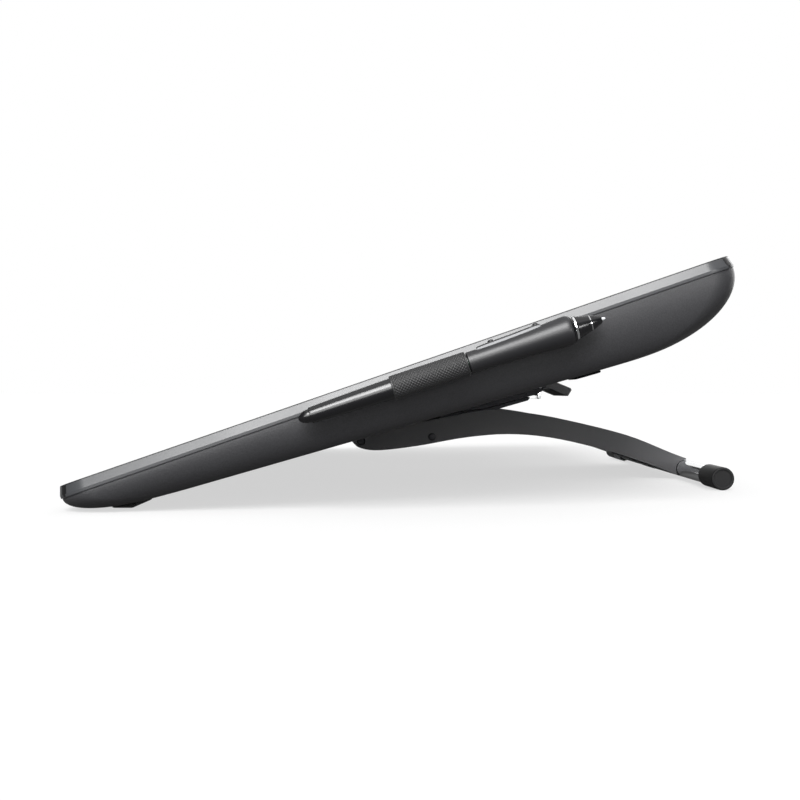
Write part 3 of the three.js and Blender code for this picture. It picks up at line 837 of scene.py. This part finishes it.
def screws_at(name, one, points, place, material):
    """One piece made of an instance of a screw at each point."""
    tree, entry, output = node_group("screws_on_points", [("Screw", "NodeSocketObject")])
    info = add_node(tree, "GeometryNodeObjectInfo", {"Object": entry.outputs["Screw"]})
    settings = {"Points": entry.outputs["Geometry"], "Instance": info.outputs["Geometry"]}
    copies = add_node(tree, "GeometryNodeInstanceOnPoints", settings).outputs["Instances"]
    finish_tree(tree, copies, output, material)
    seats = new_piece(name, points, [], place, material)
    run_tree(name, tree, {"Screw": one}, seats)
    bpy.data.objects.remove(one)
    bpy.data.node_groups.remove(tree)
    return seats


def spring_tree(material):
    """A close coil of round wire with its axis along z."""
    labels = ("Radius", "Length", "Turns", "Wire")
    tree, entry, output = node_group("coil_spring", [(label, "NodeSocketFloat") for label in labels])
    value = entry.outputs
    inner = add_node(tree, "ShaderNodeMath", {0: value["Wire"], 1: 0.5}, operation="MULTIPLY").outputs[0]
    settings = {"Resolution": 28, "Rotations": value["Turns"], "Height": value["Length"]}
    settings |= {"Start Radius": value["Radius"], "End Radius": value["Radius"]}
    coil = add_node(tree, "GeometryNodeCurveSpiral", settings).outputs["Curve"]
    ring = add_node(tree, "GeometryNodeCurvePrimitiveCircle", {"Resolution": 10, "Radius": inner}).outputs["Curve"]
    settings = {"Curve": coil, "Profile Curve": ring, "Fill Caps": True}
    wire = add_node(tree, "GeometryNodeCurveToMesh", settings).outputs["Mesh"]
    shaded = add_node(tree, "GeometryNodeSetShadeSmooth", {"Geometry": wire}).outputs["Geometry"]
    finish_tree(tree, shaded, output, material)
    return tree


class TABLET_OT_release(bpy.types.Operator):
    """Mounting plate, its screws, the hinge's clutch, and the release lever with its rod, pin, spring and cover"""

    bl_idname = "tablet.release"
    bl_label = "Mounting Plate And Release"

    def execute(self, context):
        fitted("mounting_plate", black_oxide, 0.35, "display", "dark_steel")
        fitted("release_cover", black_oxide, 0.45, "display", "dark_steel")
        fitted("hinge_clutch", zinc_steel, 0.4, "display", "zinc_steel")
        fitted("release_rod", zinc_steel, 0.3, "release_rod", "zinc_steel")
        fitted("release_lever", lever_plastic, 0.5, "release_lever", "lever_plastic")
        fitted("release_catch", polished_chrome, 0.3, "release_lever", "chrome")
        one = screw("one_screw", PLATE_SCREW, turned(UNDERSIDE.col[1][:3]), zinc_steel)
        rows, columns = (SCREWS["near"], SCREWS["far"]), (-SCREWS["across"], SCREWS["across"])
        places = [(x, y, SCREWS["seat"]) for x in columns for y in rows]
        screws = screws_at("mounting_screw_set", one, places, UNDERSIDE, zinc_steel)
        mount(screws, "display", "zinc_steel", *(f"mounting_screw_{i}" for i in range(1, 5)))
        place = UNDERSIDE @ Matrix.Translation((0, PIN["y"], PIN["z"]))
        pin = turned_piece("lever_pin_rod", rod(PIN["radius"], PIN["half"], 0.3), place, zinc_steel, 48, "x")
        mount(smooth(pin), "display", "zinc_steel", "lever_pin")
        wire = sizes().spring_wire
        values = {"Radius": SPRING["radius"] * MM - wire / 2, "Length": SPRING["length"] * MM,
                  "Turns": SPRING["turns"], "Wire": wire}
        spring = run_tree("lever_spring_coil", spring_tree(zinc_steel), values)
        at = UNDERSIDE @ Matrix.Translation((SPRING["x"], PIN["y"], PIN["z"])) @ Matrix.Rotation(math.pi / 2, 4, "Y")
        spring.data.transform(at @ Matrix.Scale(1 / MM, 4))
        mount(spring, "display", "zinc_steel", "lever_spring")
        return {"FINISHED"}


# ---- stand
SHAFT = {"radius": 3, "half": 79.7}
TUBE = {"y": 249, "z": -20.9, "bore": 5.3, "half": 176}
CAP = {"length": 34, "end": 180}
LEG_SCREW = {"x": 80.3, "y": 54.5, "z": 3.6, "head": 2.9, "rise": 0.75, "shank": 1.2, "tip": 12, "socket": 1.15}


class TABLET_OT_stand(bpy.types.Operator):
    """Bow-shaped leg, its steel frame, hinge shaft, side screws, foot tube, rubber caps and cable clip"""

    bl_idname = "tablet.stand"
    bl_label = "Stand"

    def execute(self, context):
        s = sizes()
        fitted("leg_shell", powder_coat, 0.5, "stand", "leg_coating")
        fitted("leg_frame", black_oxide, 0.4, "stand", "dark_steel")
        fitted("cable_clip", clip_paint_and_switch_highlight, 0.3, "stand", "chrome")
        profile = rod(SHAFT["radius"], SHAFT["half"], 0.5)
        shaft = smooth(turned_piece("hinge_shaft_rod", profile, LEG, black_oxide, 64, "x"))
        mount(shaft, "stand", "dark_steel", "hinge_shaft")
        axis = LEG @ Matrix.Translation((0, TUBE["y"], TUBE["z"]))
        outer, half = mm(s.tube_radius), TUBE["half"]
        profile = rod(outer, half, 0.3, TUBE["bore"])
        tube = smooth(turned_piece("foot_tube_chrome", profile, axis, polished_chrome, 128, "x"))
        mount(tube, "stand", "chrome", "foot_tube")
        radius, start, end = mm(s.cap_radius), CAP["end"] - CAP["length"], CAP["end"]
        inside = outer + SEAM
        cap = [(0, half + SEAM), (inside, half + SEAM), (inside, start), (radius - 0.75, start),
               *arc(radius - 0.75, start + 0.75, 0.75, -90, 0, 6), *arc(radius - 1.1, end - 1.1, 1.1, 0, 90, 8),
               (6.3, end), (6.0, end - 0.12), (5.75, end - 0.6), (0, end - 0.6)]
        for side, label in ((-1, "left"), (1, "right")):
            profile = [(r, side * station) for r, station in dedupe(cap)]
            piece = smooth(turned_piece(f"foot_cap_{label}_rubber", profile, axis, moulded_rubber, 96, "x"))
            mount(piece, "stand", "rubber", f"foot_cap_{label}")
        heads = []
        for side in (-1, 1):
            turn = LEG @ Matrix.Translation((side * LEG_SCREW["x"], LEG_SCREW["y"], LEG_SCREW["z"]))
            turn = turn @ Matrix.Rotation(-side * math.pi / 2, 4, "Y")
            heads.append(screw(f"leg_screw_{side}", LEG_SCREW, turn, black_oxide))
        mount(joined("leg_screw_pair", heads), "stand", "dark_steel", "leg_screw_left", "leg_screw_right")
        return {"FINISHED"}


def dedupe(points):
    """Drops points that repeat the one before."""
    kept = [points[0]]
    for p in points[1:]:
        if math.dist(p, kept[-1]) > 1e-4:
            kept.append(p)
    return kept


def joined(name, pieces):
    """One piece from several."""
    body = bmesh.new()
    for piece in pieces:
        body.from_mesh(piece.data)
    mesh = bpy.data.meshes.new(name)
    body.to_mesh(mesh)
    body.free()
    mesh.materials.append(pieces[0].data.materials[0])
    for piece in pieces:
        bpy.data.objects.remove(piece)
    return smooth(linked(name, mesh))


# ---- pen, from the eraser's tip along its axis
HOLDER = {"start": 53.1, "end": 95.8, "radius": 6.75, "bore": 6.0, "round": 0.35, "plain": 1, "stations": 250}
TONGUE = {"half_x": 3.6, "half_y": 11, "centre": (-9.9, 75), "low": -2.6, "high": 0.4}
SWITCH = {"half": 2.4, "gap": 0.45, "slot": 18.8, "centre": (0, 121), "cap": 0.75}
PIPS = {"at": ((111.3, 7.3), (136.8, 8.2)), "radius": 1.1}
GROOVE_STEEPNESS = 3.2


def knurl_tree(material):
    """Pushes a sleeve's outside in along crossing grooves, which leaves diamonds. The sleeve's axis is y."""
    labels = ("Radius", "Start", "End", "Around", "Pitch", "Height")
    tree, entry, output = node_group("diamond_knurl", [(label, "NodeSocketFloat") for label in labels])
    value = entry.outputs

    def maths(operation, *inputs):
        return add_node(tree, "ShaderNodeMath", dict(enumerate(inputs)), operation=operation).outputs[0]

    position = add_node(tree, "GeometryNodeInputPosition").outputs[0]
    at = add_node(tree, "ShaderNodeSeparateXYZ", {0: position}).outputs
    turn = maths("MULTIPLY", maths("ARCTAN2", at["Z"], at["X"]), maths("DIVIDE", value["Around"], 2 * math.pi))
    step = maths("DIVIDE", at["Y"], value["Pitch"])
    one_way = maths("PINGPONG", maths("ADD", turn, step), 0.5)
    other_way = maths("PINGPONG", maths("SUBTRACT", turn, step), 0.5)
    diamond = maths("MINIMUM", maths("MULTIPLY", maths("MINIMUM", one_way, other_way), GROOVE_STEEPNESS), 1.0)
    depth = maths("MULTIPLY", maths("SUBTRACT", 1.0, diamond), value["Height"])
    radius = maths("SQRT", maths("ADD", maths("POWER", at["X"], 2.0), maths("POWER", at["Z"], 2.0)))
    outside = maths("COMPARE", radius, value["Radius"], 0.05 * MM)
    inside_ends = maths("MULTIPLY", maths("GREATER_THAN", at["Y"], value["Start"]),
                        maths("LESS_THAN", at["Y"], value["End"]))
    push = maths("MULTIPLY", maths("MULTIPLY", depth, -1.0), maths("MULTIPLY", outside, inside_ends))
    outwards_axis = add_node(tree, "ShaderNodeCombineXYZ", {"X": at["X"], "Z": at["Z"]}).outputs[0]
    unit = add_node(tree, "ShaderNodeVectorMath", {0: outwards_axis}, operation="NORMALIZE").outputs["Vector"]
    offset = add_node(tree, "ShaderNodeVectorMath", {0: unit, "Scale": push}, operation="SCALE").outputs["Vector"]
    settings = {"Geometry": value["Geometry"], "Offset": offset}
    pressed = add_node(tree, "GeometryNodeSetPosition", settings).outputs["Geometry"]
    finish_tree(tree, pressed, output, material)
    return tree


class TABLET_OT_holder(bpy.types.Operator):
    """Knurled rubber sleeve that holds the pen, with the tongue that clips into the display's side"""

    bl_idname = "tablet.holder"
    bl_label = "Pen Holder"

    def execute(self, context):
        s = sizes()
        start, end, radius, bore, edge = (HOLDER[key] for key in ("start", "end", "radius", "bore", "round"))
        span = (end - start - 2 * edge) / HOLDER["stations"]
        outside = [(radius, start + edge + span * i) for i in range(HOLDER["stations"] + 1)]
        profile = [(bore, start), (radius - edge, start), *outside, (radius - edge, end), (bore, end)]
        sleeve = turned_piece("pen_holder_sleeve", profile, Matrix.Scale(MM, 4), holder_rubber, 224)
        values = {
            "Radius": radius * MM,
            "Start": (start + HOLDER["plain"]) * MM,
            "End": (end - HOLDER["plain"]) * MM,
            "Around": float(round(2 * math.pi * radius / mm(s.knurl_pitch))),
            "Pitch": s.knurl_pitch,
            "Height": s.knurl_height,
        }
        run_tree("pen_holder_sleeve", knurl_tree(holder_rubber), values, sleeve)
        sleeve.data.transform(PEN @ Matrix.Scale(1 / MM, 4))
        mount(smooth(sleeve, 60), "display", "holder_rubber", "pen_holder")
        outline = plate(TONGUE["half_x"], TONGUE["half_y"], 1.2, 6, TONGUE["centre"])
        tongue = slab("pen_holder_tongue", outline, TONGUE["low"], TONGUE["high"], PEN, holder_rubber)
        mount(round_edges(tongue, 0.4), "display", "holder_rubber")
        return {"FINISHED"}


class TABLET_OT_pen(bpy.types.Operator):
    """Pen: eraser, barrel, grip, side switch, nose collar, ring, cone and nib"""

    bl_idname = "tablet.pen"
    bl_label = "Pen"

    def execute(self, context):
        angles = [math.radians(a) for a in range(-84, 1, 6)]
        dome = [(3.7 * math.cos(a), 6.2 + 6.2 * math.sin(a)) for a in angles]
        barrel = spline([(4.42, 7.2), (4.9, 20), (5.45, 40), (5.7, 56), (5.75, 96)])
        cone = spline([(6.2, 158), (5.3, 161.5), (4.3, 165), (3.3, 168.4), (2.05, 171.4)], 6)
        pieces = {
            "pen_eraser": ([(0, 0), *dome, (3.7, 8.0), (2.6, 8.0), (2.6, 15), (0, 15)],
                           polished_pen, "pen_eraser", "pen_gloss"),
            "pen_barrel": ([(3.2, 9.4), (3.85, 9.3), (3.85, 6.7), (4.2, 6.7), (4.36, 6.85), *barrel, (5.6, 96.2),
                            (3.2, 96.2)], polished_pen, "pen", "pen_gloss"),
            "pen_nose_collar": ([(3.2, 154.9), (7.28, 154.9), (6.95, 155.5), (6.7, 155.8), (3.2, 155.8)],
                                polished_pen, "pen", "pen_gloss"),
            "pen_nose_ring": ([(3.2, 156.1), (6.5, 156.1), (6.62, 156.35), (6.55, 157.15), (6.4, 157.3), (3.2, 157.3)],
                              polished_chrome, "pen", "chrome"),
            "pen_nose_cone": ([(1.15, 157.6), (6.1, 157.6), (6.24, 157.75), *cone, (1.9, 171.6), (1.15, 171.6)],
                              polished_pen, "pen", "pen_gloss"),
            "pen_nib": ([(0, 152), (0.8, 152), (0.8, 172.4), (0.74, 173), (0.55, 173.5), (0.3, 173.8), (0, 173.9)],
                        nylon_nib, "pen_nib", "nib_plastic"),
        }
        for node, (profile, material, body, slot) in pieces.items():
            piece = smooth(turned_piece(f"{node}_body", profile, PEN, material, 128))
            mount(piece, body, slot, node)
        side = spline([(5.95, 96.8), (6.0, 108), (6.7, 130), (7.8, 146), (8.08, 152)])
        profile = [(4.6, 96.5), (5.7, 96.5), *side, (8.0, 153.2), (7.6, 154.3), (7.4, 154.6), (4.6, 154.6)]
        grip = turned_piece("pen_grip_rubber", profile, PEN, soft_grip, 128)
        half = SWITCH["half"]
        outline = plate(half + SWITCH["gap"], SWITCH["slot"], 1.6, 6, SWITCH["centre"])
        smooth(carve(grip, slab("slot", outline, 3.9, 12, PEN, soft_grip)))
        mount(grip, "pen", "pen_rubber", "pen_grip")
        top = spline([(103, 6.5), (105, 7.15), (121, 7.7), (136.5, 8.35), (139, 7.7)])
        low = [(103, 5.4), (121, 5.0), (139, 5.6)]
        seam = [(y, z - SWITCH["cap"]) for y, z in top]
        # The bar along the switch's side is light grey under a dark cap: a painted highlight along its side.
        bar = prism("pen_side_switch_bar", [*low, *reversed(seam)], half, PEN, clip_paint_and_switch_highlight)
        mount(round_edges(bar, 0.2), "pen_side_switch", "key_plastic", "pen_side_switch")
        cap = prism("pen_side_switch_cap", [*seam, *reversed(top)], half, PEN, key_plastic)
        mount(round_edges(cap, 0.2), "pen_side_switch", "key_plastic")
        profile = [(0, -0.8), (1.6, -0.8), *arc(0.6, 0, PIPS["radius"], 0, 90, 6), (0, PIPS["radius"])]
        places = [PEN @ Matrix.Translation((0, *at)) for at in PIPS["at"]]
        dots = [turned_piece("dot", profile, place, key_plastic, 24, "z") for place in places]
        mount(joined("pen_side_switch_pips", dots), "pen_side_switch", "key_plastic")
        band = [(4.0, 165.1), (4.36, 165.1), (4.24, 165.6), (4.0, 165.6)]
        mount(smooth(turned_piece("pen_cone_band", band, PEN, polished_chrome, 128)), "pen", "chrome")
        return {"FINISHED"}


# ---- floor, light and camera, in metres, degrees and watts
FLOOR_REACH = 30
CAMERA = {"place": (0.9184, -0.0179, 0.067), "drop": 0.43, "lens": 49.59, "sensor": 36}
LIGHTS = {
    "front_softbox": {"from": (1.0, -0.19, 0.9), "spread": 36, "strength": 4.7},
    "front_broad": {"from": (1.0, -0.25, 0.16), "spread": 50, "strength": 2.9},
    "rear_fill": {"from": (1.0, 0.7, 0.11), "spread": 12, "strength": 0.6},
    "back_softbox": {"from": (-1.0, 0.7, 0.5), "spread": 50, "strength": 1.2},
    "overhead": {"from": (0.0, 0.1, 1.0), "spread": 80, "strength": 1.0},
}
BACK_PANEL = {"place": (-3.0, 0.0, 1.3), "width": 9.0, "height": 3.0, "watts": 80}
SKY = 0.08
PAPER = {"glow": 0.62, "seen": 0.24, "bounce": 0.05, "mirrored": 0.1}


def studio_floor():
    """Lit white paper: it glows a little, so shadows on it stay pale, and it throws little light back up."""
    material = bpy.data.materials.new("studio_paper")
    material.use_nodes = True
    tree = material.node_tree
    tree.nodes.clear()
    path = add_node(tree, "ShaderNodeLightPath").outputs
    settings = {0: path["Is Glossy Ray"], 1: PAPER["mirrored"], 2: path["Is Camera Ray"]}
    mixed = add_node(tree, "ShaderNodeMath", settings, operation="MULTIPLY_ADD").outputs[0]
    glow = add_node(tree, "ShaderNodeEmission", {"Strength": PAPER["glow"]}).outputs[0]
    paper = {name: (PAPER[name],) * 3 + (1,) for name in ("seen", "bounce")}
    seen = add_node(tree, "ShaderNodeBsdfDiffuse", {"Color": paper["seen"]}).outputs[0]
    bounce = add_node(tree, "ShaderNodeBsdfDiffuse", {"Color": paper["bounce"]}).outputs[0]
    lit = add_node(tree, "ShaderNodeAddShader", {0: glow, 1: seen}).outputs[0]
    both = add_node(tree, "ShaderNodeMixShader", {0: mixed, 1: bounce, 2: lit}).outputs[0]
    add_node(tree, "ShaderNodeOutputMaterial", {"Surface": both})
    return material


def light(name, kind, direction, **settings):
    """A lamp that shines from a direction."""
    data = bpy.data.lights.new(name, kind)
    for key, value in settings.items():
        setattr(data, key, value)
    lamp = linked(name, data)
    lamp.rotation_euler = Vector(direction).to_track_quat("Z", "Y").to_euler()
    return lamp


class TABLET_OT_stage(bpy.types.Operator):
    """Glowing pale floor, soft lights from far away, a panel behind that only gloss mirrors, and the camera"""

    bl_idname = "tablet.stage"
    bl_label = "Stage"

    def execute(self, context):
        corners = [(x * FLOOR_REACH, y * FLOOR_REACH, 0) for x, y in ((-1, -1), (1, -1), (1, 1), (-1, 1))]
        new_piece("studio_floor", corners, [(0, 1, 2, 3)], Matrix(), studio_floor)
        for name, sun in LIGHTS.items():
            light(name, "SUN", sun["from"], energy=sun["strength"], angle=math.radians(sun["spread"]))
        size = {"shape": "RECTANGLE", "size": BACK_PANEL["width"], "size_y": BACK_PANEL["height"]}
        panel = light("back_panel", "AREA", (-1, 0, 0), energy=BACK_PANEL["watts"], **size)
        panel.location = BACK_PANEL["place"]
        panel.visible_camera = panel.visible_diffuse = False
        lens = bpy.data.cameras.new("camera")
        lens.lens, lens.sensor_width = CAMERA["lens"], CAMERA["sensor"]
        camera = linked("camera", lens)
        camera.location = CAMERA["place"]
        camera.rotation_euler = (math.radians(90 - CAMERA["drop"]), 0, math.radians(90))
        context.scene.camera = camera
        world = bpy.data.worlds.new("pale_surround")
        world.use_nodes = True
        tree = world.node_tree
        seen = add_node(tree, "ShaderNodeLightPath").outputs["Is Camera Ray"]
        settings = {"Value": seen, "To Min": SKY, "To Max": 1.0}
        strength = add_node(tree, "ShaderNodeMapRange", settings).outputs["Result"]
        tree.nodes["Background"].inputs["Color"].default_value = (1, 1, 1, 1)
        tree.links.new(strength, tree.nodes["Background"].inputs["Strength"])
        context.scene.world = world
        context.scene.view_settings.view_transform = "Standard"
        return {"FINISHED"}


# ---- add-on
STEPS = (
    TABLET_OT_stage,
    TABLET_OT_housing,
    TABLET_OT_bezel,
    TABLET_OT_screen,
    TABLET_OT_keys,
    TABLET_OT_feet,
    TABLET_OT_release,
    TABLET_OT_stand,
    TABLET_OT_holder,
    TABLET_OT_pen,
)


class TABLET_PT_panel(bpy.types.Panel):
    """Lists the sizes, the colours and the operators"""

    bl_idname = "TABLET_PT_panel"
    bl_label = "Pen Display"
    bl_space_type = "VIEW_3D"
    bl_region_type = "UI"
    bl_category = "Pen Display"

    def draw(self, context):
        for group in (sizes(), colours()):
            box = self.layout.box()
            for name in group.__annotations__:
                box.prop(group, name)
        for step in STEPS:
            self.layout.operator(step.bl_idname)


CLASSES = (TabletSizes, TabletColours, *STEPS, TABLET_PT_panel)


def register():
    for cls in CLASSES:
        bpy.utils.register_class(cls)
    bpy.types.Scene.tablet_sizes = bpy.props.PointerProperty(type=TabletSizes)
    bpy.types.Scene.tablet_colours = bpy.props.PointerProperty(type=TabletColours)


def unregister():
    del bpy.types.Scene.tablet_colours
    del bpy.types.Scene.tablet_sizes
    for cls in reversed(CLASSES):
        bpy.utils.unregister_class(cls)


def main():
    register()
    for step in STEPS:
        group, name = step.bl_idname.split(".")
        getattr(getattr(bpy.ops, group), name)()


if __name__ == "__main__":
    main()
